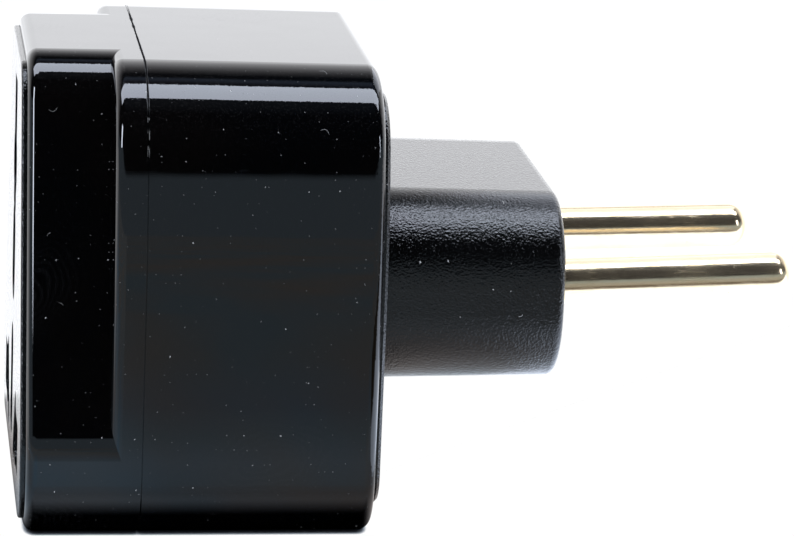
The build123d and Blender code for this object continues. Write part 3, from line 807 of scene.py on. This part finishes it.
# %% [markdown]
# ## Matt black
#
# The face plate and the plug block are moulded against a spark-eroded surface. The grain is the whole
# look: it spreads the overhead light into a broad sheen full of sparkles, so it is a real bump and
# not only a rough shader. It is shallower on the faces that look up.

# %% Matt black
COOL_MATT = (0.0004, 0.0005, 0.0006, 1.0)
WARM_MATT = (0.0014, 0.0013, 0.0013, 1.0)
WORN_MATT = (0.035, 0.035, 0.036, 1.0)
MATT_DUST = (0.5, 0.49, 0.47, 1.0)
GRAIN_ROUGHNESS = 0.13

tree, shader, place, flat = new_finish("matt_black")
grain = use_group(tree, spark_grain, {"Place": place, "Per Metre": 4400.0})
specks = mask_of(tree, dust_specks, Flat=flat, Per_Metre=420.0, Size=0.04, Share=0.15)
hairs = mask_of(tree, lint_hairs, Flat=flat, Length=0.6 * MM, Thickness=0.02 * MM, Share=0.1)
worn = mask_of(tree, edge_wear, Place=place, Radius=0.3 * MM, Amount=0.6)
body = mix_colour(tree, noise(tree, place, per_metre=90.0, detail=3.0), COOL_MATT, WARM_MATT)
body = mix_colour(tree, times(tree, worn, 0.4), body, WORN_MATT)
dust = math_node(tree, "MAXIMUM", specks, hairs)
colour = mix_colour(tree, dust, body, MATT_DUST)
rough = add_share(tree, GRAIN_ROUGHNESS, grain["Peaks"], -0.05)
rough = add_share(tree, rough, worn, -0.05)
rough = add_share(tree, rough, dust, 0.5, clamp=True)
depth = add_share(tree, 1.0, smooth_step(tree, upward(tree), 0.8, 0.98), -0.6)
connect(tree, shader, colour, rough, times(tree, grain["Height"], depth), relief=0.065 * MM)
print("finish", "matt_black")

# %% [markdown]
# ## Nickel plate
#
# The pins are turned from brass and nickel plated. The plate is warm and bright with a slight orange
# peel, faint drawing lines along the pin, and a browner bloom in places.

# %% Nickel
WARM_NICKEL = (0.75, 0.615, 0.41, 1.0)
BROWN_NICKEL = (0.72, 0.575, 0.365, 1.0)
TARNISH = (0.30, 0.24, 0.16, 1.0)

tree, shader, place, flat = new_finish("nickel", metallic=1.0)
bloom = smooth_step(tree, noise(tree, place, per_metre=240.0, detail=4.0), 0.40, 0.70)
drawn = mask_of(tree, hairline_scratches, Place=place, Stretch=(90.0, 2600.0, 2600.0), Broken=0.35)
peel = use_group(tree, spark_grain, {"Place": place, "Per Metre": 1700.0})
specks = mask_of(tree, dust_specks, Flat=flat, Per_Metre=900.0, Size=0.07, Share=0.2)
colour = mix_colour(tree, bloom, WARM_NICKEL, BROWN_NICKEL)
colour = mix_colour(tree, times(tree, specks, 0.6), colour, TARNISH)
tree.links.new(add_share(tree, 0.95, bloom, -0.04), shader.inputs["Metallic"])
rough = add_share(tree, 0.15, bloom, 0.06)
rough = add_share(tree, rough, drawn, 0.10)
rough = add_share(tree, rough, specks, 0.2)
connect(tree, shader, colour, rough, add_share(tree, peel["Height"], drawn, -0.15), relief=0.006 * MM)
print("finish", "nickel")

# %% [markdown]
# ## Contact brass
#
# The contacts are stamped from rolled strip. The rolling lines run along the strip, handling leaves
# darker patches, and the sheared edges are brighter.

# %% Contact brass
CLEAN_BRASS = (0.80, 0.58, 0.25, 1.0)
DARK_BRASS = (0.56, 0.36, 0.15, 1.0)
SHEARED_BRASS = (0.90, 0.72, 0.40, 1.0)
LINE_DEPTH = -0.004 * MM

tree, shader, place, flat = new_finish("contact_brass", metallic=1.0)
bloom = smooth_step(tree, noise(tree, place, per_metre=180.0, detail=4.0), 0.38, 0.68)
rolled = mask_of(tree, hairline_scratches, Place=place, Stretch=(80.0, 2200.0, 2200.0), Broken=0.2)
sheared = mask_of(tree, edge_wear, Place=place, Radius=0.2 * MM, Amount=1.0)
colour = mix_colour(tree, bloom, CLEAN_BRASS, DARK_BRASS)
colour = mix_colour(tree, sheared, colour, SHEARED_BRASS)
rough = add_share(tree, add_share(tree, 0.20, bloom, 0.14), rolled, 0.12)
connect(tree, shader, colour, rough, rolled, relief=LINE_DEPTH)
print("finish", "contact_brass")

# %% [markdown]
# ## Spring steel
#
# Spring wire and spring strip are drawn and tempered. The surface is grey with die lines and a faint
# straw and blue temper colour in patches.

# %% Spring steel
TEMPER_COLOURS = [(0.35, (0.47, 0.48, 0.52)), (0.5, (0.56, 0.56, 0.57)), (0.66, (0.58, 0.53, 0.45))]

tree, shader, place, flat = new_finish("spring_steel", metallic=1.0)
temper = noise(tree, place, per_metre=320.0, detail=3.0)
drawn = mask_of(tree, hairline_scratches, Place=place, Stretch=(2400.0, 300.0, 2400.0), Broken=0.2)
colour = ramp_node(tree, temper, TEMPER_COLOURS)
rough = add_share(tree, add_share(tree, 0.2, temper, 0.16), drawn, 0.12)
connect(tree, shader, colour, rough, drawn, relief=LINE_DEPTH)
print("finish", "spring_steel")

# %% [markdown]
# ## Screw steel
#
# The screws are zinc plated. The plate is pale and slightly cloudy, with turning lines and bright rims
# where a driver has rubbed.

# %% Screw steel
PALE_ZINC = (0.66, 0.67, 0.69, 1.0)
CLOUDY_ZINC = (0.46, 0.46, 0.47, 1.0)
RUBBED_ZINC = (0.82, 0.82, 0.82, 1.0)

tree, shader, place, flat = new_finish("screw_steel", metallic=1.0)
cloud = smooth_step(tree, noise(tree, place, per_metre=500.0, detail=4.0), 0.35, 0.70)
rubbed = mask_of(tree, edge_wear, Place=place, Radius=0.2 * MM, Amount=1.0)
turned = mask_of(tree, hairline_scratches, Place=place, Stretch=(2600.0, 400.0, 400.0), Broken=0.3)
colour = mix_colour(tree, cloud, PALE_ZINC, CLOUDY_ZINC)
colour = mix_colour(tree, rubbed, colour, RUBBED_ZINC)
rough = add_share(tree, add_share(tree, 0.24, cloud, 0.15), rubbed, -0.08)
rough = add_share(tree, rough, turned, 0.10)
connect(tree, shader, colour, rough, turned, relief=LINE_DEPTH)
print("finish", "screw_steel")

# %% [markdown]
# ## White moulding
#
# The shutter, its retainer and the contact carrier are plain white mouldings. Their mould is less
# fine than the case's, so they are satin with a light grain, a little flow haze and some dust.

# %% White moulding
COOL_WHITE = (0.80, 0.79, 0.74, 1.0)
WARM_WHITE = (0.70, 0.69, 0.64, 1.0)
WORN_WHITE = (0.86, 0.85, 0.82, 1.0)
GREY_DUST = (0.28, 0.27, 0.25, 1.0)

tree, shader, place, flat = new_finish("white_moulding")
grain = use_group(tree, spark_grain, {"Place": place, "Per Metre": 1900.0})
flow = noise(tree, place, per_metre=110.0, detail=3.0)
specks = mask_of(tree, dust_specks, Flat=flat, Per_Metre=700.0, Size=0.05, Share=0.3)
worn = mask_of(tree, edge_wear, Place=place, Radius=0.3 * MM, Amount=0.5)
colour = mix_colour(tree, flow, COOL_WHITE, WARM_WHITE)
colour = mix_colour(tree, worn, colour, WORN_WHITE)
colour = mix_colour(tree, times(tree, specks, 0.5), colour, GREY_DUST)
rough = add_share(tree, 0.34, flow, 0.15)
connect(tree, shader, colour, rough, grain["Height"], relief=0.01 * MM)
print("finish", "white_moulding")

# %% [markdown]
# ## Dressing the nodes
#
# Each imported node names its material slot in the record, so every node takes the finish of its slot.
# The shapes stay as they are packed, and only the materials change.

# %% Dressing the nodes
pieces = frame["record"]["subparts"]
for piece in pieces:
    node = frame["nodes"][piece["node"]]
    node.data.materials.clear()
    node.data.materials.append(finishes[piece["material_slot"]])
print("dressed", len(pieces), "nodes")

# %% [markdown]
# ## Coil of wire
#
# A compression spring is round wire wound up a helix. Spin makes one: it turns a round section about an
# upright axis, with a small lift at every step, and leaves both ends closed. It may list its new points
# in any order, so they are sorted by place, which makes the mesh the same each time.

# %% Coil of wire
WIRE = 0.4 * MM
WIRE_SIDES = 10
TURNS = 6
STEPS_PER_TURN = 24
PLACE_DIGITS = 7


def sort_by_place(items, place_of):
    ranked = sorted(items, key=lambda item: [round(number, PLACE_DIGITS) for number in place_of(item)])
    rank = {item: index for index, item in enumerate(ranked)}
    items.sort(key=rank.get)


def wire_coil(name, low, high):
    middle = (low + high) / 2
    wire_place = Vector((high.x - WIRE / 2, middle.y, low.z + WIRE / 2))
    stand_up = Matrix.Translation(wire_place) @ Matrix.Rotation(math.pi / 2, 4, "X")
    shape = bmesh.new()
    bmesh.ops.create_circle(shape, cap_ends=True, radius=WIRE / 2, segments=WIRE_SIDES, matrix=stand_up)
    steps = TURNS * STEPS_PER_TURN
    bmesh.ops.spin(
        shape,
        geom=shape.verts[:] + shape.edges[:] + shape.faces[:],
        cent=(middle.x, middle.y, 0.0),
        axis=(0.0, 0.0, 1.0),
        dvec=(0.0, 0.0, (high.z - low.z - WIRE) / steps),
        angle=2 * math.pi * TURNS,
        steps=steps,
    )
    bmesh.ops.recalc_face_normals(shape, faces=shape.faces[:])
    sort_by_place(shape.verts, lambda vert: vert.co)
    sort_by_place(shape.faces, lambda face: face.calc_center_median())
    mesh = bpy.data.meshes.new(name)
    shape.to_mesh(mesh)
    shape.free()
    for face in mesh.polygons:
        face.use_smooth = True
    return mesh


print("coil of", TURNS, "turns, wire in mm", round(WIRE / MM, 2))

# %% [markdown]
# ## Shutter coils
#
# Two springs push the shutter down, and they shorten as a plug pushes it up. A imported node's mesh is never
# changed, so a coil of the same size takes each packed spring's place, and the packed spring is hidden.

# %% Shutter coils
slide = frame["joints"][0]


def shutter_coil(name, node):
    low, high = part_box(node)
    mesh = wire_coil(name, low, high)
    mesh.materials.append(finishes["spring_steel"])
    coil = bpy.data.objects.new(name, mesh)
    scene.collection.objects.link(coil)
    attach(coil, "case")
    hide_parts(node)
    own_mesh(coil)


for item in slide["deforming_nodes"]:
    shutter_coil(item["node"].replace("spring", "coil"), item["node"])

# %% [markdown]
# ## Finish
#
# The last cell hands the scene over. Nothing is drawn here: the render is started from outside.

# %% Finish
print("scene handed over")
